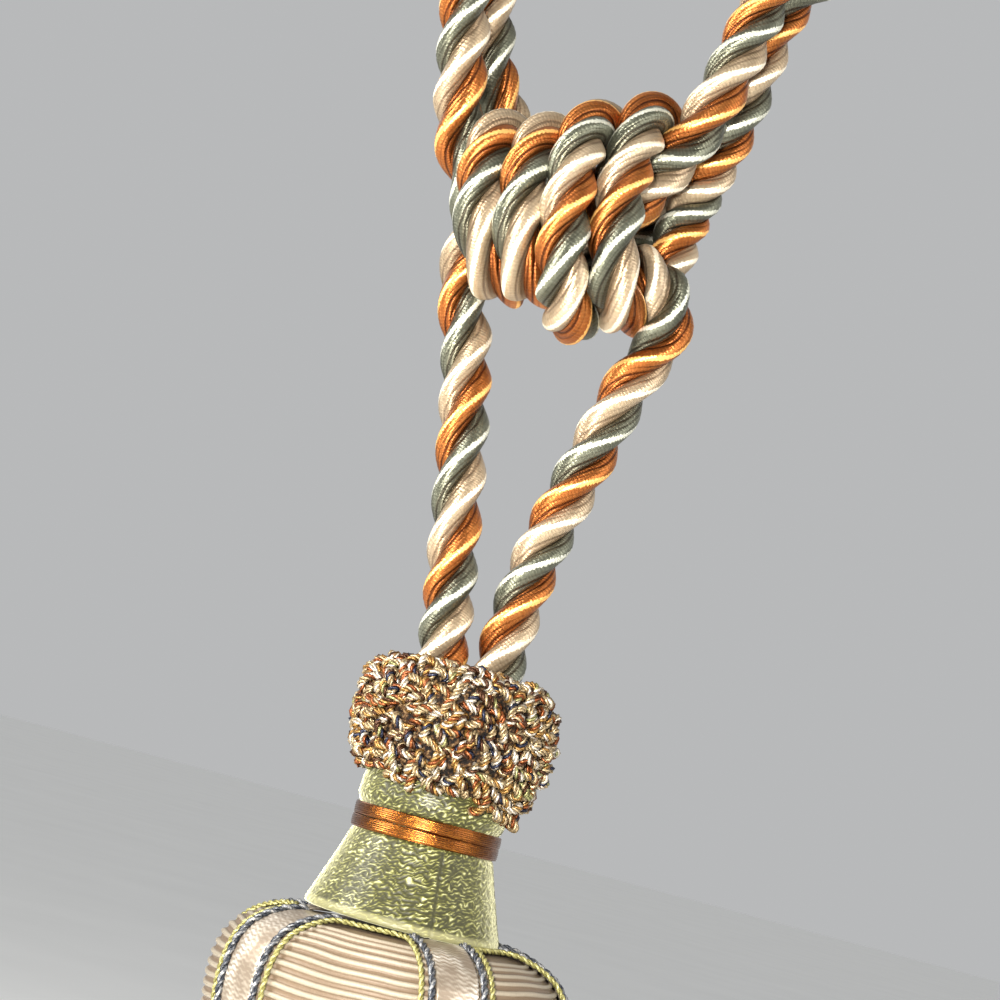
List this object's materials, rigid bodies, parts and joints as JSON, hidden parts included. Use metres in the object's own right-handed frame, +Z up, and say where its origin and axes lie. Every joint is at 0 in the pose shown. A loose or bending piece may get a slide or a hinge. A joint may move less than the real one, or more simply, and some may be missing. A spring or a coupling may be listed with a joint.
{
  "type": "curtain tieback tassel",
  "caption": "Curtain tieback tassel: a knotted three-strand rope with hanging loops, a looped ruff, a satin neck, a ribbed drum with bands, and a fringe.",
  "frame": {"origin": "above the tassel's axis, level with the tops of the two hanging loops, where a wall hook carries them", "axes": "+Z up, the way it hangs; -Y towards the room, the front of the knot; +X to the right seen from the front"},
  "size_m": [0.1146, 0.0885, 0.4417],
  "materials": {
    "rope": "satin gimp in three strands: orange, cream and grey-green",
    "boucle": "looped fine cord in cream, copper, navy and lime",
    "neck_satin": "crinkled olive satin thread",
    "ribbon": "copper satin ribbon",
    "ribbed_cream": "glossy cream thread laid in level ribs",
    "band": "champagne satin with a chevron crinkle",
    "panel_cord": "yellow-green fine cord",
    "twist_cord": "fine cord twisted from slate, navy and white",
    "fringe": "soft yarn fringe"
  },
  "bodies": {
    "root": {"rope": "rope", "ruff": "boucle", "neck": "neck_satin", "ribbon": "ribbon", "drum": "ribbed_cream", "band_1": "band", "band_2": "band", "band_3": "band", "band_4": "band", "band_5": "band", "panel_cord_1": "panel_cord", "panel_cord_2": "panel_cord", "panel_cord_3": "panel_cord", "panel_cord_4": "panel_cord", "panel_cord_5": "panel_cord", "twist_1_left": "twist_cord", "twist_1_right": "twist_cord", "twist_2_left": "twist_cord", "twist_2_right": "twist_cord", "twist_3_left": "twist_cord", "twist_3_right": "twist_cord", "twist_4_left": "twist_cord", "twist_4_right": "twist_cord", "twist_5_left": "twist_cord", "twist_5_right": "twist_cord", "skirt": "fringe"}
  },
  "joints": []
}
